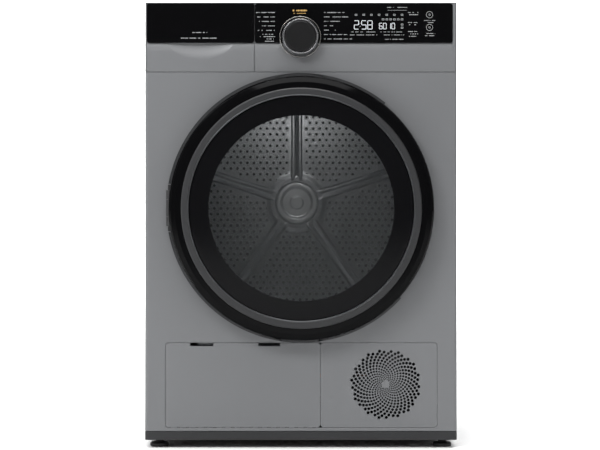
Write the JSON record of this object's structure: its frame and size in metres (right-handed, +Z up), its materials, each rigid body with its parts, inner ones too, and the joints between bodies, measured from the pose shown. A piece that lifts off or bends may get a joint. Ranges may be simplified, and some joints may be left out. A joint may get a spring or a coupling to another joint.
{
  "type": "clothes dryer",
  "caption": "Front-loading condenser clothes dryer with round glazed door, program knob, water-tank drawer, service flap and round-pattern air grille.",
  "frame": {"origin": "on the floor, under the middle of the whole object's footprint", "axes": "+Z up, the front faces -Y, +X to the right as seen from the front"},
  "size_m": [0.595, 0.655, 0.85],
  "materials": {
    "body_grey": "silver-grey satin powder coat",
    "body_grey_plastic": "moulded plastic sprayed to match the body, satin",
    "dark_grey": "dark grey moulded plastic, fine grain",
    "gloss_black": "piano black, polished",
    "matt_black": "black, matt",
    "satin_trim": "dark grey satin trim",
    "chrome": "bright plated",
    "smoked_window": "smoked clear window with a black printed border",
    "bowl_glass": "clear pressed glass",
    "drum_steel": "galvanised and brushed",
    "zinc": "zinc-coated sheet",
    "steel": "ground steel",
    "copper": "bare copper tube",
    "fins": "bare fin stock",
    "felt": "pressed wool felt",
    "rubber": "black rubber, matt",
    "inner_plastic": "grey moulded plastic",
    "tank_plastic": "pale translucent plastic",
    "compressor_paint": "black painted steel"
  },
  "bodies": {
    "cabinet": {"base_tray": "dark_grey", "side_panel_left": "body_grey", "side_panel_right": "body_grey", "front_panel": "body_grey", "rear_panel": "zinc", "rear_cover": "zinc", "cable_gland": "matt_black", "top_panel": "body_grey", "control_fascia": "body_grey_plastic", "control_glass": "gloss_black", "tank_housing": "inner_plastic", "front_bulkhead": "inner_plastic", "drum_seal_front": "felt", "drum_seal_rear": "felt", "door_gasket": "rubber", "hinge_bracket": "matt_black", "latch_receiver": "matt_black", "drive_motor": "zinc", "fan_housing": "inner_plastic", "drum_belt": "rubber", "duct_lid": "inner_plastic", "evaporator": "fins", "condenser": "fins", "exchanger_cover": "inner_plastic", "compressor": "compressor_paint", "refrigerant_pipe": "copper", "condensate_pump": "matt_black", "power_board": "matt_black", "grille_panel": "body_grey_plastic", "rear_bearing": "steel"},
    "door": {"door_ring": "gloss_black", "door_trim_ring": "satin_trim", "door_window": "smoked_window", "door_inner_frame": "dark_grey", "door_bowl": "bowl_glass", "door_hinge_arm": "matt_black", "door_latch": "matt_black"},
    "drum": {"drum_shell": "drum_steel", "drum_rear_wall": "drum_steel", "drum_shaft": "steel", "drum_lifter_1": "inner_plastic", "drum_lifter_2": "inner_plastic", "drum_lifter_3": "inner_plastic"},
    "motor_rotor": {"motor_shaft": "steel", "blower_wheel": "matt_black"},
    "belt_tensioner": {"idler_arm": "zinc"},
    "tensioner_pulley": {"idler_pulley": "matt_black"},
    "roller_left": {"support_roller_left": "rubber"},
    "roller_right": {"support_roller_right": "rubber"},
    "knob": {"knob_cap": "matt_black", "knob_ring": "chrome"},
    "tank_drawer": {"tank_front": "body_grey_plastic", "tank_front_glass": "gloss_black", "tank_container": "tank_plastic"},
    "flap": {"service_flap": "body_grey_plastic"},
    "filter": {"lint_filter": "inner_plastic"},
    "foot_front_left": {"foot_front_left": "matt_black"},
    "foot_front_right": {"foot_front_right": "matt_black"},
    "foot_rear_left": {"foot_rear_left": "matt_black"},
    "foot_rear_right": {"foot_rear_right": "matt_black"}
  },
  "joints": [
    {"name": "door_hinge", "type": "hinge", "parent": "cabinet", "child": "door", "pos_m": [-0.25, -0.3025, 0.458], "axis": [0, 0, -1], "range_deg": [0, 150]},
    {"name": "drum_spin", "type": "hinge", "parent": "cabinet", "child": "drum", "pos_m": [0, 0.3025, 0.458], "axis": [0, 1, 0], "continuous": true},
    {"name": "motor_spin", "type": "hinge", "parent": "cabinet", "child": "motor_rotor", "pos_m": [0.17, 0.0155, 0.125], "axis": [0, 1, 0], "continuous": true},
    {"name": "tensioner_swing", "type": "hinge", "parent": "cabinet", "child": "belt_tensioner", "pos_m": [0.24007, 0.0155, 0.14859], "axis": [0, 1, 0], "range_deg": [0, 10], "stiffness_Nm_per_rad": 0.6, "springref_deg": -17.19},
    {"name": "tensioner_pulley_spin", "type": "hinge", "parent": "belt_tensioner", "child": "tensioner_pulley", "pos_m": [0.24007, 0.0155, 0.23659], "axis": [0, 1, 0], "continuous": true},
    {"name": "roller_left_spin", "type": "hinge", "parent": "cabinet", "child": "roller_left", "pos_m": [-0.17368, -0.198, 0.20996], "axis": [0, 1, 0], "continuous": true},
    {"name": "roller_right_spin", "type": "hinge", "parent": "cabinet", "child": "roller_right", "pos_m": [0.17368, -0.198, 0.20996], "axis": [0, 1, 0], "continuous": true},
    {"name": "knob_turn", "type": "hinge", "parent": "cabinet", "child": "knob", "pos_m": [-0.0015, -0.2825, 0.784], "axis": [0, 1, 0], "continuous": true},
    {"name": "tank_slide", "type": "slide", "parent": "cabinet", "child": "tank_drawer", "axis": [0, -1, 0], "range_m": [0, 0.4]},
    {"name": "flap_hinge", "type": "hinge", "parent": "cabinet", "child": "flap", "pos_m": [-0.111, -0.2785, 0.0465], "axis": [1, 0, 0], "range_deg": [0, 85]},
    {"name": "filter_lift", "type": "slide", "parent": "cabinet", "child": "filter", "axis": [0, 0, 1], "range_m": [0, 0.13]},
    {"name": "foot_front_left_screw", "type": "slide", "parent": "cabinet", "child": "foot_front_left", "axis": [0, 0, -1], "range_m": [0, 0.012]},
    {"name": "foot_front_right_screw", "type": "slide", "parent": "cabinet", "child": "foot_front_right", "axis": [0, 0, -1], "range_m": [0, 0.012]},
    {"name": "foot_rear_left_screw", "type": "slide", "parent": "cabinet", "child": "foot_rear_left", "axis": [0, 0, -1], "range_m": [0, 0.012]},
    {"name": "foot_rear_right_screw", "type": "slide", "parent": "cabinet", "child": "foot_rear_right", "axis": [0, 0, -1], "range_m": [0, 0.012]}
  ],
  "couplings": [
    {"joint": "motor_spin", "follows": "drum_spin", "ratio": 31.111},
    {"joint": "roller_left_spin", "follows": "drum_spin", "ratio": -12.727},
    {"joint": "roller_right_spin", "follows": "drum_spin", "ratio": -12.727},
    {"joint": "tensioner_pulley_spin", "follows": "drum_spin", "ratio": -17.5}
  ]
}
